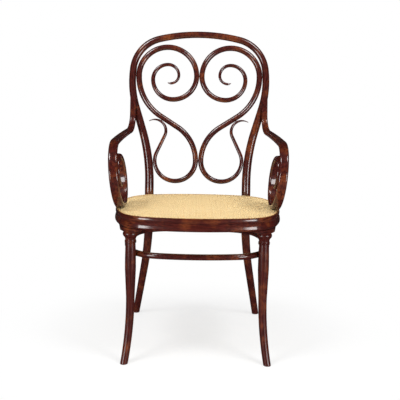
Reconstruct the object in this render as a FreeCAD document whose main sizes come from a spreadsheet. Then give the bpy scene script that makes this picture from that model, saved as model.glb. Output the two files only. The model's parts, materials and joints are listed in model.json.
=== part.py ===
"""Bentwood armchair with a caned seat, built from bent, turned and woven pieces.

Millimetres, +Z up, the floor at Z = 0 and the front of the chair towards -Y. The origin is
on the floor, under the middle of the chair's width and depth. The pieces of the right side
(+X) are worked out and the left ones mirrored from them.
"""
import FreeCAD
import Part
import math
import os

from FreeCAD import Rotation, Vector

# Driving dimensions: name, value in millimetres or degrees, what it measures
SIZES = [
    ("seat_height", 458, "floor to the top of the seat ring"),
    ("ring_width", 528, "seat ring, widest, over the lower bead"),
    ("ring_depth", 486, "seat ring, front to back, over the lower bead"),
    ("ring_side_radius", 430, "plan radius of the ring's sides"),
    ("ring_end_radius", 620, "plan radius of the ring's front and back"),
    ("ring_corner_radius", 120, "plan radius of the ring's corners"),
    ("ring_height", 40, "height of the ring's wood"),
    ("ring_band", 44, "width of the ring's wood in plan"),
    ("bead_height", 17, "height of the upper bead on the ring's edge"),
    ("bead_setback", 2, "upper bead stands this far inside the lower one"),
    ("groove_depth", 2.5, "depth of the groove under the upper bead"),
    ("under_radius", 7, "radius that rounds the ring under its lower bead"),
    ("cane_rim", 6, "wooden rim left outside the cane"),
    ("cane_thickness", 2, "woven cane"),
    ("binder_width", 4.5, "binding strip over the ends of the cane"),
    ("binder_thickness", 1.2, "binding strip"),
    ("post_spread", 343, "between the centres of the back posts at the seat"),
    ("post_setback", 230, "seat middle to the centres of the back posts"),
    ("post_diameter", 31, "back posts at the seat"),
    ("hoop_side_diameter", 24.5, "hoop at its widest place"),
    ("hoop_top_diameter", 22.5, "hoop at the middle of its top"),
    ("rear_foot_diameter", 24, "back legs at the floor"),
    ("rear_splay_side", 10, "angle of the back legs outwards"),
    ("rear_splay_back", 15.5, "angle of the back legs backwards"),
    ("rear_bend_radius", 640, "bend of the back legs below the seat"),
    ("rear_straight", 28, "upright stretch of the back legs below the ring"),
    ("recline", 9, "angle of the back from upright"),
    ("recline_radius", 180, "bend of the posts just above the seat"),
    ("flare", 16.5, "steepest outward lean of the posts in the back's plane"),
    ("flare_radius", 660, "bend of the posts outwards"),
    ("flare_start", 9.4, "straight stretch between the recline and the flare"),
    ("hoop_width", 475, "between the hoop's centre lines at its widest place"),
    ("hoop_side_radius", 345, "bend of the hoop's sides"),
    ("hoop_shoulder_radius", 123, "bend of the hoop's shoulders"),
    ("hoop_top_radius", 600, "bend of the hoop's top"),
    ("hoop_rise", 164, "widest place to the top, along the back's plane"),
    ("scroll_lift", 15, "scroll meets the hoop this far above its widest place"),
    ("scroll_diameter", 20.4, "scroll rod where it meets the hoop"),
    ("scroll_middle_diameter", 18.5, "scroll rod where the pair meet"),
    ("scroll_post_diameter", 13.4, "scroll rod where it meets the post"),
    ("scroll_neck_diameter", 11.6, "scroll rod at the neck below the hook"),
    ("scroll_hook_diameter", 9, "scroll rod where the hook meets the rod above"),
    ("scroll_eye_diameter", 8.6, "scroll rod near the inner end of its spiral"),
    ("scroll_point_diameter", 2.4, "pointed ends of the scroll rod"),
    ("scroll_thinning", 1.6, "power of the length by which the spiral thins, a plain number"),
    ("spiral_quarter_two", 84, "radius of the spiral's second bend"),
    ("spiral_quarter_three", 71, "radius of the spiral's third bend"),
    ("spiral_quarter_four", 53.5, "radius of the spiral's fourth bend"),
    ("spiral_quarter_five", 38, "radius of the spiral's fifth bend"),
    ("spiral_quarter_six", 29, "radius of the spiral's sixth bend"),
    ("spiral_point_radius", 20, "radius of the spiral's pointed end"),
    ("spiral_point_turn", 32, "angle that the pointed end turns"),
    ("sweep_angle", 57.5, "how far the scroll's S turns from the upright"),
    ("sweep_upper_radius", 171, "bend of the S below the hoop"),
    ("sweep_lower_radius", 141, "bend of the S above the lower loop"),
    ("neck_radius", 66, "bend from the lower loop into the neck"),
    ("neck_lean", 25, "lean of the neck from the upright"),
    ("hook_radius", 40, "bend of the hook"),
    ("hook_turn", 146, "angle that the hook turns"),
    ("arm_width", 28, "arm band, across"),
    ("arm_thickness", 15, "arm band, through"),
    ("arm_edge_radius", 6, "rounding of the arm band's edges"),
    ("arm_top_width", 20.5, "arm band at its upper end"),
    ("arm_rest_width", 24, "arm band where the armrest leaves its bend"),
    ("arm_eye_width", 22, "arm band at the inner end of its volute"),
    ("arm_eye_thickness", 11, "arm band at the inner end of its volute"),
    ("arm_drop", 61, "upper end of the arm below the hoop's widest place"),
    ("arm_lap", 64, "length of arm that lies along the hoop"),
    ("arm_bend_radius", 66, "bend from the lap into the armrest"),
    ("armrest_fall", 4.5, "fall of the armrest to the front"),
    ("armrest_turn", 5.5, "angle that the armrest turns inwards along its length"),
    ("volute_tilt", 5.6, "lean of the volute's plane, foot inwards"),
    ("volute_forward", 56, "seat middle to the middle of the volute's foot"),
    ("volute_inset", 20, "ring's edge to the middle of the volute's foot"),
    ("volute_flat", 2, "depth of the flat that the volute rests on"),
    ("volute_second_radius", 77.8, "volute's second half turn"),
    ("volute_third_radius", 47, "volute's third half turn"),
    ("volute_third_turn", 168, "angle of the volute's third half turn"),
    ("leg_bearing", 37.2, "front leg's direction from the ring's corner centre"),
    ("leg_inset", 24, "ring's edge to the front leg's centre"),
    ("tenon_diameter", 18, "front leg's tenon"),
    ("tenon_depth", 22, "how far the tenon goes into the ring"),
    ("block_height", 13, "block between the ring and the front leg"),
    ("block_inset", 3, "ring's edge to the block's outer face"),
    ("block_width", 39, "width of the block"),
    ("block_top_angle", 33, "half angle of the block against the ring"),
    ("block_foot_angle", 17, "half angle of the block against the leg"),
    ("capital_diameter", 47, "front leg's capital"),
    ("capital_height", 16, "front leg's capital"),
    ("cove_diameter", 32.5, "hollow under the capital"),
    ("cove_height", 11, "hollow under the capital"),
    ("collar_diameter", 35.6, "two small rings under the hollow"),
    ("collar_height", 4.5, "each small ring"),
    ("leg_neck_diameter", 30.4, "front leg below the small rings"),
    ("leg_swell_diameter", 33.5, "front leg at its thickest"),
    ("leg_swell_height", 290, "floor to the front leg's thickest place"),
    ("leg_ankle_diameter", 26, "front leg where its foot starts to curve"),
    ("leg_ankle_height", 200, "floor to the start of the foot's curve"),
    ("leg_foot_diameter", 23, "front leg at the floor"),
    ("leg_kick", 18.1, "angle of the front leg at the floor"),
    ("leg_kick_heading", 31, "heading of the kick, outwards from straight ahead"),
    ("leg_ring_height", 333, "floor to the middle of the leg ring"),
    ("leg_ring_diameter", 18.5, "rod of the leg ring"),
    ("leg_ring_corner_inset", 101, "front leg's axis to the leg ring's corner centre, sideways"),
    ("leg_ring_corner_radius", 110, "plan radius of the leg ring's corners"),
    ("leg_ring_side_radius", 420, "plan radius of the leg ring's sides"),
    ("leg_ring_end_radius", 700, "plan radius of the leg ring's front and back"),
    ("bolt_diameter", 8, "bolts through the back posts and the ring"),
    ("bolt_head_diameter", 16, "domed heads of those bolts"),
    ("bolt_head_height", 4, "domed heads of those bolts"),
    ("bolt_height", 20, "ring's top to the middle of the bolts"),
    ("bolt_spare", 3, "length of bolt past its nut"),
    ("washer_diameter", 19, "washers under the nuts"),
    ("washer_thickness", 1.6, "washers under the nuts"),
    ("nut_across_corners", 15, "hexagon nuts"),
    ("nut_height", 6.5, "hexagon nuts"),
    ("seat_face_depth", 1.5, "flat cut into the ring for each washer"),
    ("screw_diameter", 4, "wood screws"),
    ("screw_head_diameter", 7.6, "countersunk heads of the wood screws"),
    ("screw_grip", 9, "length of a wood screw in the second piece"),
    ("small_screw_diameter", 2.4, "wood screws of the hooks"),
    ("small_head_diameter", 4.6, "countersunk heads of the hooks' screws"),
    ("small_grip", 8, "length of a hook's screw in the rod above"),
    ("gap", 0.3, "clearance between pieces that meet"),
    ("bore_gap", 0.1, "clearance round a bolt, screw or tenon"),
]

document = FreeCAD.newDocument("bentwood_armchair")
sheet = document.addObject("Spreadsheet::Sheet", "sizes")
for row, (alias, value, note) in enumerate(SIZES, start=1):
    sheet.set(f"A{row}", note)
    sheet.set(f"B{row}", str(value))
    sheet.setAlias(f"B{row}", alias)
document.recompute()

UP = Vector(0, 0, 1)
RIGHT = Vector(1, 0, 0)


def size(alias):
    """Value of a driving dimension, read from the sheet."""
    return float(sheet.get(alias))


def degrees(alias):
    """Driving angle in radians."""
    return math.radians(size(alias))


def turned(vector, axis, angle):
    """The vector turned by an angle in radians about an axis."""
    return Rotation(axis, math.degrees(angle)).multVec(vector)


def keep(name, shape):
    """Document object that holds a shape worked out from the sheet's sizes."""
    item = document.addObject("Part::Feature", name)
    item.Shape = shape
    item.Label = name
    return item


def feature(kind, name, **bindings):
    """Parametric document object whose properties follow expressions on the sheet."""
    item = document.addObject(kind, name)
    for prop, expression in bindings.items():
        item.setExpression(prop, expression)
    item.Label = name
    return item


def mirrored(name, source):
    """The left-hand twin of a right-hand piece."""
    item = document.addObject("Part::Mirroring", name)
    item.Source = source
    item.Normal = RIGHT
    item.Label = name
    return item


def drilled(name, base, tools):
    """A piece less the bores that its neighbours and fasteners need."""
    cutter = keep(name + "_bores", Part.makeCompound(tools))
    item = document.addObject("Part::Cut", name)
    item.Base = base
    item.Tool = cutter
    item.Label = name
    return item


def group(name, pieces):
    """Like fasteners together, as separate solids."""
    item = document.addObject("Part::Compound", name)
    item.Links = pieces
    item.Label = name
    return item


def flip(shape):
    """A shape mirrored to the left side."""
    return shape.mirror(Vector(), RIGHT)


class BentPath:
    """Centre line of a bent bar: straights and tangent arcs, with a frame carried along it."""

    def __init__(self, point, direction, side):
        self.points = [point]
        self.directions = [direction]
        self.sides = [side]
        self.edges = []

    def _end(self, edge, point, direction, side):
        self.edges.append(edge)
        self.points.append(point)
        self.directions.append(direction)
        self.sides.append(side)

    def straight(self, length):
        """Goes on straight."""
        start = self.points[-1]
        end = start + self.directions[-1] * length
        self._end(Part.makeLine(start, end), end, self.directions[-1], self.sides[-1])

    def bend(self, radius, angle, axis):
        """Turns by an angle about an axis square to the path, on an arc."""
        start = self.points[-1]
        centre = start + axis.cross(self.directions[-1]).normalize() * radius
        middle = centre + turned(start - centre, axis, angle / 2)
        end = centre + turned(start - centre, axis, angle)
        direction = turned(self.directions[-1], axis, angle)
        self._end(Part.Arc(start, middle, end).toShape(), end, direction,
                  turned(self.sides[-1], axis, angle))

    def backwards(self):
        """The same line from its other end."""
        twin = BentPath(self.points[-1], self.directions[-1] * -1, self.sides[-1])
        twin.points = self.points[::-1]
        twin.directions = [direction * -1 for direction in self.directions[::-1]]
        twin.sides = self.sides[::-1]
        twin.edges = self.edges[::-1]
        return twin

    def onwards(self, other):
        """Adds a line that starts where this one ends."""
        self.points += other.points[1:]
        self.directions += other.directions[1:]
        self.sides += other.sides[1:]
        self.edges += other.edges


def round_section(path, joint, radius):
    """Circle square to the path at a joint, as two half circles."""
    centre = path.points[joint]
    side = path.sides[joint] * radius
    across = path.directions[joint].cross(path.sides[joint]).normalize() * radius
    first = Part.Arc(centre + side, centre + across, centre - side)
    second = Part.Arc(centre - side, centre - across, centre + side)
    return Part.Wire([first.toShape(), second.toShape()])


def band_section(path, joint, width, thickness, edge_radius):
    """Rectangle with rounded corners square to the path, its width along the carried side."""
    centre = path.points[joint]
    side = path.sides[joint]
    across = path.directions[joint].cross(side).normalize()

    def at(x, y):
        return centre + side * x + across * y

    half = width / 2
    deep = thickness / 2
    bevel = edge_radius * (1 - math.sqrt(0.5))
    edges = []
    for sx, sy in ((1, 1), (-1, 1), (-1, -1), (1, -1)):
        flat_end = at(sx * (half - edge_radius), sy * deep)
        wall_end = at(sx * half, sy * (deep - edge_radius))
        corner = at(sx * (half - bevel), sy * (deep - bevel))
        entry, leave = (wall_end, flat_end) if sx * sy > 0 else (flat_end, wall_end)
        edges.append(Part.Arc(entry, corner, leave).toShape())
    outline = []
    for arc, following in zip(edges, edges[1:] + edges[:1]):
        outline.append(arc)
        outline.append(Part.makeLine(arc.Vertexes[-1].Point, following.Vertexes[0].Point))
    return Part.Wire(outline)


def bent_bar(path, sections):
    """Solid that runs along the path through one outline at each joint."""
    faces = [Part.Face(sections[0]), Part.Face(sections[-1])]
    for joint, edge in enumerate(path.edges):
        spine = Part.Wire(edge)
        skin = Part.BRepOffsetAPI.MakePipeShell(spine)
        for end in (joint, joint + 1):
            place = path.points[end]
            vertex = min(spine.Vertexes, key=lambda v: v.Point.distanceToPoint(place))
            skin.add(sections[end], vertex)
        skin.build()
        faces += skin.shape().Faces
    skin = Part.makeCompound(faces)
    skin.sewShape()
    solid = Part.Solid(skin.Shells[0])
    if solid.Volume < 0:
        solid.reverse()
    return solid


def tapered_rod(path, diameters):
    """Round bar; a joint with no diameter of its own lies on a line between its neighbours."""
    along = [0.0]
    for edge in path.edges:
        along.append(along[-1] + edge.Length)
    known = [joint for joint, diameter in enumerate(diameters) if diameter is not None]
    sections = []
    for joint, diameter in enumerate(diameters):
        if diameter is None:
            before = max(k for k in known if k < joint)
            after = min(k for k in known if k > joint)
            share = (along[joint] - along[before]) / (along[after] - along[before])
            diameter = diameters[before] + share * (diameters[after] - diameters[before])
        sections.append(round_section(path, joint, diameter / 2))
    return bent_bar(path, sections)


def corner_centre(half_width, half_depth, side_radius, end_radius, corner_radius):
    """Centre of the corner arc that joins a side arc to an end arc, in the first quadrant."""
    side = Vector(half_width - side_radius, 0, 0)
    end = Vector(0, half_depth - end_radius, 0)
    from_end = end_radius - corner_radius
    from_side = side_radius - corner_radius
    line = side - end
    apart = line.Length
    line.normalize()
    along = (from_end ** 2 - from_side ** 2 + apart ** 2) / (2 * apart)
    off = math.sqrt(from_end ** 2 - along ** 2)
    return end + line * along + Vector(line.y, -line.x, 0) * off


class Oval:
    """Plan outline of eight tangent arcs, from its corner centres and three radii."""

    def __init__(self, corner_x, front_y, rear_y, corner_radius, side_radius, end_radius):
        self.corner = Vector(corner_x, front_y, 0)
        self.rear_corner = Vector(corner_x, rear_y, 0)
        self.corner_radius = corner_radius
        self.side_radius = side_radius
        self.end_radius = end_radius
        half = (rear_y - front_y) / 2
        side_x = corner_x - math.sqrt((side_radius - corner_radius) ** 2 - half ** 2)
        reach = math.sqrt((end_radius - corner_radius) ** 2 - corner_x ** 2)
        self.side = Vector(side_x, front_y + half, 0)
        self.front = Vector(0, front_y + reach, 0)
        self.rear = Vector(0, rear_y - reach, 0)

    def wire(self, inset, height):
        """Closed outline at a height, drawn in from the oval's edge."""
        half = []
        stations = [
            (self.front, self.end_radius, Vector(0, -1, 0), self.corner - self.front),
            (self.corner, self.corner_radius, self.corner - self.front, self.corner - self.side),
            (self.side, self.side_radius, self.corner - self.side, self.rear_corner - self.side),
            (self.rear_corner, self.corner_radius, self.rear_corner - self.side,
             self.rear_corner - self.rear),
            (self.rear, self.end_radius, self.rear_corner - self.rear, Vector(0, 1, 0)),
        ]
        for centre, radius, start, end in stations:
            spokes = [Vector(start).normalize(), Vector(end).normalize()]
            spokes.insert(1, (spokes[0] + spokes[1]).normalize())
            ends = [centre + spoke * (radius - inset) + UP * height for spoke in spokes]
            half.append(Part.Arc(*ends).toShape())
        return Part.Wire(half + [flip(edge) for edge in half[::-1]])


# Places that several pieces share

gap = size("gap")
recline = degrees("recline")
seat_top = size("seat_height")
ring_bottom = seat_top - size("ring_height")
post_x = size("post_spread") / 2

# Height in the back's plane, from the end of the recline bend: widest place and top of the hoop
flare = degrees("flare")
side_centre_u = size("hoop_width") / 2 - size("hoop_side_radius")
flare_out = size("flare_radius") * (1 - math.cos(flare))
flare_up = size("flare_radius") * math.sin(flare)
side_foot_u = side_centre_u + size("hoop_side_radius") * math.cos(flare)
lean_length = (side_foot_u - post_x - flare_out) / math.sin(flare)
lean_top = size("flare_start") + flare_up + lean_length * math.cos(flare)
widest = lean_top + size("hoop_side_radius") * math.sin(flare)
hoop_top = widest + size("hoop_rise")

# Depth of the seat's middle, so that the chair's depth is centred on the origin
bend_back = size("recline_radius") * (1 - math.cos(recline))
bend_up = size("recline_radius") * math.sin(recline)
rear_reach = (size("post_setback") + bend_back + hoop_top * math.sin(recline)
              + size("hoop_top_diameter") / 2)
seat_y = (size("ring_depth") / 2 - rear_reach) / 2
post_y = seat_y + size("post_setback")

BACK_UP = Vector(0, math.sin(recline), math.cos(recline))
BACK_FRONT = Vector(0, -math.cos(recline), math.sin(recline))
back_origin = Vector(0, post_y + bend_back, seat_top + bend_up)


def on_back(u, v):
    """Point of the back's plane, u across and v up."""
    return back_origin + RIGHT * u + BACK_UP * v


def in_back(u, v):
    """Direction in the back's plane."""
    return RIGHT * u + BACK_UP * v


def hoop_line(v):
    """Distance of the hoop's centre line from the middle, and its lean, at a height v."""
    flare_top = size("flare_start") + flare_up
    if v < flare_top:
        lean = math.asin((v - size("flare_start")) / size("flare_radius"))
        return post_x + size("flare_radius") * (1 - math.cos(lean)), lean
    if v < lean_top:
        return post_x + flare_out + (v - flare_top) * math.tan(flare), flare
    lean = math.asin((widest - v) / size("hoop_side_radius"))
    return side_centre_u + size("hoop_side_radius") * math.cos(lean), lean


def hoop_radius(v):
    """Half the thickness of the hoop at a height v below its widest place."""
    share = v / widest
    thick = size("post_diameter") * (1 - share) + size("hoop_side_diameter") * share
    return thick / 2


def rear_leg_radius(height):
    """Half the thickness of a back leg at a height above the floor."""
    share = height / (ring_bottom - size("rear_straight"))
    thick = size("rear_foot_diameter") * (1 - share) + size("post_diameter") * share
    return thick / 2


def fastener(length, diameter, head, clearance, access):
    """Countersunk screw along +Z from its head's top; access is the bore above the head."""
    radius = diameter / 2 + clearance
    head_radius = head / 2 + clearance
    sink = (head - diameter) / 2
    point = diameter
    outline = [
        (0, -access), (head_radius, -access), (head_radius, 0), (radius, sink),
        (radius, length - point), (0, length + clearance),
    ]
    if access == 0:
        outline = outline[:1] + outline[2:]
    corners = [Vector(r, 0, z) for r, z in outline]
    wire = Part.makePolygon(corners + corners[:1])
    return Part.Face(wire).revolve(Vector(), UP, 360)


def aimed(shape, point, direction):
    """A shape moved so that its +Z runs from a point along a direction."""
    copy = shape.copy()
    copy.Placement = FreeCAD.Placement(point, Rotation(UP, direction))
    return copy


def wood_screw(point, direction, length, small=False):
    """A screw and the bore that it needs, from the top of its head."""
    kind = "small_" if small else "screw_"
    diameter = size("small_screw_diameter") if small else size("screw_diameter")
    head = size(kind + "head_diameter")
    access = head
    screw = fastener(length, diameter, head, 0, 0)
    bore = fastener(length, diameter, head, size("bore_gap"), access)
    return aimed(screw, point, direction), aimed(bore, point, direction)


# Seat ring, its cane and the places of the legs on it

half_width = size("ring_width") / 2
half_depth = size("ring_depth") / 2
seat_corner = corner_centre(half_width, half_depth, size("ring_side_radius"),
                            size("ring_end_radius"), size("ring_corner_radius"))
seat_oval = Oval(seat_corner.x, seat_y - seat_corner.y, seat_y + seat_corner.y,
                 size("ring_corner_radius"), size("ring_side_radius"), size("ring_end_radius"))


def ring_section():
    """Outline of the ring's wood at the middle of its front, moulded with two beads."""
    edge_y = seat_y - half_depth
    bead = size("bead_height")
    setback = size("bead_setback")
    groove = setback + size("groove_depth")
    under = size("under_radius")
    band = size("ring_band")
    rebate = -size("cane_thickness")
    foot = -size("ring_height")
    swell = foot + under
    hollow = -bead - swell
    waist = (groove ** 2 + hollow ** 2) / (2 * groove)
    turn = math.atan2(hollow, waist - groove) / 2

    def at(inset, drop):
        return Vector(0, edge_y + inset, seat_top + drop)

    quarter = under * (1 - math.sqrt(0.5))
    upper_bead = Part.Arc(at(2 * setback, 0), at(setback, -bead / 2), at(groove, -bead))
    lower_bead = Part.Arc(at(groove, -bead),
                          at(waist * (1 - math.cos(turn)), swell + waist * math.sin(turn)),
                          at(0, swell))
    underside = Part.Arc(at(0, swell), at(quarter, foot + quarter), at(under, foot))
    corners = [at(under, foot), at(band, foot), at(band, rebate), at(size("cane_rim"), rebate),
               at(size("cane_rim"), 0), at(2 * setback, 0)]
    lines = [Part.makeLine(a, b) for a, b in zip(corners, corners[1:])]
    return Part.Wire([upper_bead.toShape(), lower_bead.toShape(), underside.toShape()] + lines)


ring_profile = keep("ring_profile", ring_section())
ring_spine = keep("ring_spine", seat_oval.wire(0, seat_top))
ring_blank = document.addObject("Part::Sweep", "ring_blank")
ring_blank.Sections = [ring_profile]
ring_blank.Spine = (ring_spine, [f"Edge{k + 1}" for k in range(len(ring_spine.Shape.Edges))])
ring_blank.Solid = True
ring_blank.Frenet = False

cane_sheet = keep("cane_sheet", Part.Face(seat_oval.wire(
    size("cane_rim") + gap, seat_top - size("cane_thickness"))))
cane_blank = feature("Part::Extrusion", "cane_blank", LengthFwd="sizes.cane_thickness")
cane_blank.Base = cane_sheet
cane_blank.DirMode = "Custom"
cane_blank.Dir = UP

binder_outer = seat_oval.wire(size("cane_rim") + gap, seat_top)
binder_inner = seat_oval.wire(size("cane_rim") + gap + size("binder_width"), seat_top)
binder_sheet = keep("binder_sheet", Part.Face(binder_outer).cut(Part.Face(binder_inner)))
binder_blank = feature("Part::Extrusion", "binder_blank", LengthFwd="sizes.binder_thickness")
binder_blank.Base = binder_sheet
binder_blank.DirMode = "Custom"
binder_blank.Dir = UP

# Front leg's axis, on the ring's front corner
leg_bearing = degrees("leg_bearing")
leg_reach = size("ring_corner_radius") - size("leg_inset")
leg_axis = seat_oval.corner + Vector(math.cos(leg_bearing), -math.sin(leg_bearing), 0) * leg_reach
leg_top = ring_bottom - size("block_height")

# Bent pieces of the back


def hoop_half():
    """Right half of the hoop, from below the floor up the back leg to the top's middle."""
    side = math.tan(degrees("rear_splay_side"))
    back = math.tan(degrees("rear_splay_back"))
    down = Vector(side, back, -1)
    down.normalize()
    level = Vector(side, back, 0)
    level.normalize()
    tilt = math.acos(-down.z)
    radius = size("rear_bend_radius")
    bend_top = ring_bottom - size("rear_straight")
    bend_foot = bend_top - radius * math.sin(tilt)
    spare = size("rear_foot_diameter")
    lower = bend_foot / math.cos(tilt) + spare
    knee = Vector(post_x, post_y, bend_foot) + level * (radius * (1 - math.cos(tilt)))
    start = knee + down * lower
    turn_axis = (down * -1).cross(UP).normalize()
    path = BentPath(start, down * -1, turn_axis)
    path.straight(lower)
    path.bend(radius, tilt, turn_axis)
    path.straight(seat_top - bend_top)
    path.bend(size("recline_radius"), recline, RIGHT * -1)
    path.straight(size("flare_start"))
    path.bend(size("flare_radius"), flare, BACK_FRONT * -1)
    path.straight(lean_length)
    path.bend(size("hoop_side_radius"), flare, BACK_FRONT)
    shoulder = corner_centre(size("hoop_width") / 2, size("hoop_rise"),
                             size("hoop_side_radius"), size("hoop_top_radius"),
                             size("hoop_shoulder_radius"))
    side_turn = math.atan2(shoulder.y, shoulder.x - side_centre_u)
    top_turn = math.atan2(shoulder.x, shoulder.y - size("hoop_rise") + size("hoop_top_radius"))
    path.bend(size("hoop_side_radius"), side_turn, BACK_FRONT)
    path.bend(size("hoop_shoulder_radius"), math.pi / 2 - side_turn - top_turn, BACK_FRONT)
    path.bend(size("hoop_top_radius"), top_turn, BACK_FRONT)
    post = size("post_diameter")
    foot = 2 * rear_leg_radius(-spare * math.cos(tilt))
    diameters = [foot, None, post, post, post, None, None, None,
                 size("hoop_side_diameter"), None, None, size("hoop_top_diameter")]
    return tapered_rod(path, diameters)


def above_floor(shape):
    """The part of a leg that stands above the floor."""
    reach = 2 * size("seat_height")
    below = Part.makeBox(2 * reach, 2 * reach, reach, Vector(-reach, -reach, -reach))
    return shape.cut(below)


# The scroll's rod, in the back's plane
scroll_radius = size("scroll_diameter") / 2
middle_radius = size("scroll_middle_diameter") / 2
meet_v = widest + size("scroll_lift")
meet_u = hoop_line(meet_v)[0] - size("hoop_side_diameter") / 2 - gap - scroll_radius
middle_u = middle_radius + gap / 2
lobe_radius = (meet_u - middle_u) / 2
sweep = degrees("sweep_angle")
sweep_out = (size("sweep_upper_radius") + size("sweep_lower_radius")) * (1 - math.cos(sweep))
sweep_line = (meet_u - middle_u - sweep_out) / math.sin(sweep)
loop_v = (meet_v - sweep_line * math.cos(sweep)
          - (size("sweep_upper_radius") + size("sweep_lower_radius")) * math.sin(sweep))
post_u, post_lean = hoop_line(loop_v)
touch_radius = size("scroll_post_diameter") / 2
loop_radius = ((post_u - middle_u) * math.cos(post_lean) - touch_radius - hoop_radius(loop_v)
               - gap) / (1 + math.cos(post_lean))
loop_u = middle_u + loop_radius
hook_rod_radius = size("scroll_hook_diameter") / 2


def hook_place():
    """Length of the neck that brings the hook up to the rod above, and the hook's centre."""
    lean = degrees("neck_lean")
    rod_u = meet_u - size("sweep_upper_radius") * (1 - math.cos(sweep))
    rod_v = meet_v - size("sweep_upper_radius") * math.sin(sweep)
    below = Vector(math.cos(sweep), -math.sin(sweep), 0)
    along = Vector(-math.sin(lean), math.cos(lean), 0)
    outward = Vector(math.cos(lean), math.sin(lean), 0)
    start = Vector(loop_u + loop_radius - size("neck_radius") * (1 - math.cos(lean)),
                   loop_v + size("neck_radius") * math.sin(lean), 0)
    start += outward * size("hook_radius")
    need = size("hook_radius") + hook_rod_radius + scroll_radius + gap
    length = ((start - Vector(rod_u, rod_v, 0)).dot(below) - need) / -along.dot(below)
    return length, start + along * length


neck_length, hook_centre = hook_place()


def scroll_rod():
    """Right scroll, from its spiral's point over the lobe, down the S to the hook's point."""
    inwards = BACK_FRONT
    outwards = BACK_FRONT * -1
    meet = on_back(meet_u, meet_v)
    spiral = BentPath(meet, BACK_UP, BACK_FRONT)
    spiral.bend(lobe_radius, math.pi / 2, inwards)
    spiral.bend(lobe_radius, math.pi / 2, inwards)
    quarters = ("two", "three", "four", "five", "six")
    for quarter in quarters:
        spiral.bend(size("spiral_quarter_" + quarter), math.pi / 2, inwards)
    spiral.bend(size("spiral_point_radius"), degrees("spiral_point_turn"), inwards)
    path = spiral.backwards()

    lower = BentPath(meet, BACK_UP * -1, BACK_FRONT)
    lower.bend(size("sweep_upper_radius"), sweep, outwards)
    lower.straight(sweep_line)
    lower.bend(size("sweep_lower_radius"), sweep, inwards)
    lower.bend(loop_radius, math.pi / 2, inwards)
    lower.bend(loop_radius, math.pi / 2, inwards)
    lower.bend(size("neck_radius"), degrees("neck_lean"), inwards)
    lower.straight(neck_length)
    to_touch = degrees("neck_lean") + sweep
    lower.bend(size("hook_radius"), to_touch, outwards)
    lower.bend(size("hook_radius"), degrees("hook_turn") - to_touch, outwards)
    path.onwards(lower)

    # The rod thins towards the eye of the spiral, faster the nearer it gets
    middle = size("scroll_middle_diameter")
    eye = size("scroll_eye_diameter")
    lengths = [size("spiral_quarter_" + quarter) for quarter in quarters]
    spiral_sizes = []
    for count in range(len(lengths), 0, -1):
        share = sum(lengths[:count]) / sum(lengths)
        spiral_sizes.append(middle - (middle - eye) * share ** size("scroll_thinning"))
    diameters = ([size("scroll_point_diameter")] + spiral_sizes
                 + [middle, None, size("scroll_diameter"), None, None, middle, None,
                    size("scroll_post_diameter"), None, size("scroll_neck_diameter"),
                    size("scroll_hook_diameter"), size("scroll_point_diameter")])
    return tapered_rod(path, diameters)


# Arms

lap_v = widest - size("arm_drop")
lap_foot_v = lap_v - size("arm_lap")
lap_u = hoop_line(lap_v)[0]
rest_top = seat_top + size("binder_thickness") + gap


def arm_line(toe):
    """Right arm's centre line, leaving the hoop with an outward heading: lap, bend, armrest
    that falls to the front, and three half turns of volute."""
    stand_off = hoop_radius(lap_foot_v) + gap + size("arm_thickness") / 2
    start = on_back(lap_u, lap_v) + BACK_FRONT * stand_off
    path = BentPath(start, BACK_UP * -1, RIGHT)
    path.straight(size("arm_lap"))
    slope = degrees("armrest_fall")
    heading = Vector(math.sin(toe), -math.cos(toe), -math.tan(slope)).normalize()
    axis = (BACK_UP * -1).cross(heading).normalize()
    turn = (BACK_UP * -1).getAngle(heading)
    path.bend(size("arm_bend_radius"), turn, axis)
    rest = path.points[-1]
    last_toe = toe - degrees("armrest_turn")
    run = rest.y - (seat_y - size("volute_forward"))
    upper = (UP - heading * heading.z).normalize()
    rest_radius = run / (math.sin(toe) - math.sin(last_toe)) / math.cos(slope)
    path.bend(rest_radius, toe - last_toe, upper * -1)
    heading = path.directions[-1]
    tilt = degrees("volute_tilt")
    inward = Vector(-math.sin(tilt), 0, -math.cos(tilt))
    inward = (inward - heading * inward.dot(heading)).normalize()
    axis = heading.cross(inward)
    lowest = (axis * axis.z - UP).normalize()
    fall = (path.points[-1].z - rest_top + size("volute_flat")
            + lowest.z * size("arm_thickness") / 2)
    path.bend(fall / -(inward.z + lowest.z), math.pi - inward.getAngle(lowest), axis)
    path.bend(size("volute_second_radius"), math.pi, axis)
    path.bend(size("volute_third_radius"), degrees("volute_third_turn"), axis)
    return path


def ring_edge(forward):
    """Distance of the ring's outer edge from the middle, beside a place ahead of the seat's."""
    radius = size("ring_side_radius")
    return half_width - radius + math.sqrt(radius ** 2 - forward ** 2)


def arm_heading():
    """Outward heading that sets the volute's foot on the ring, found by halving a range."""
    target = ring_edge(size("volute_forward")) - size("volute_inset")
    low, high = math.radians(-30), math.radians(45)
    for _ in range(40):
        middle = (low + high) / 2
        if arm_line(middle).points[4].x < target:
            low = middle
        else:
            high = middle
    return low


arm_path = arm_line(arm_heading())
volute_foot = arm_path.points[4]


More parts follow.
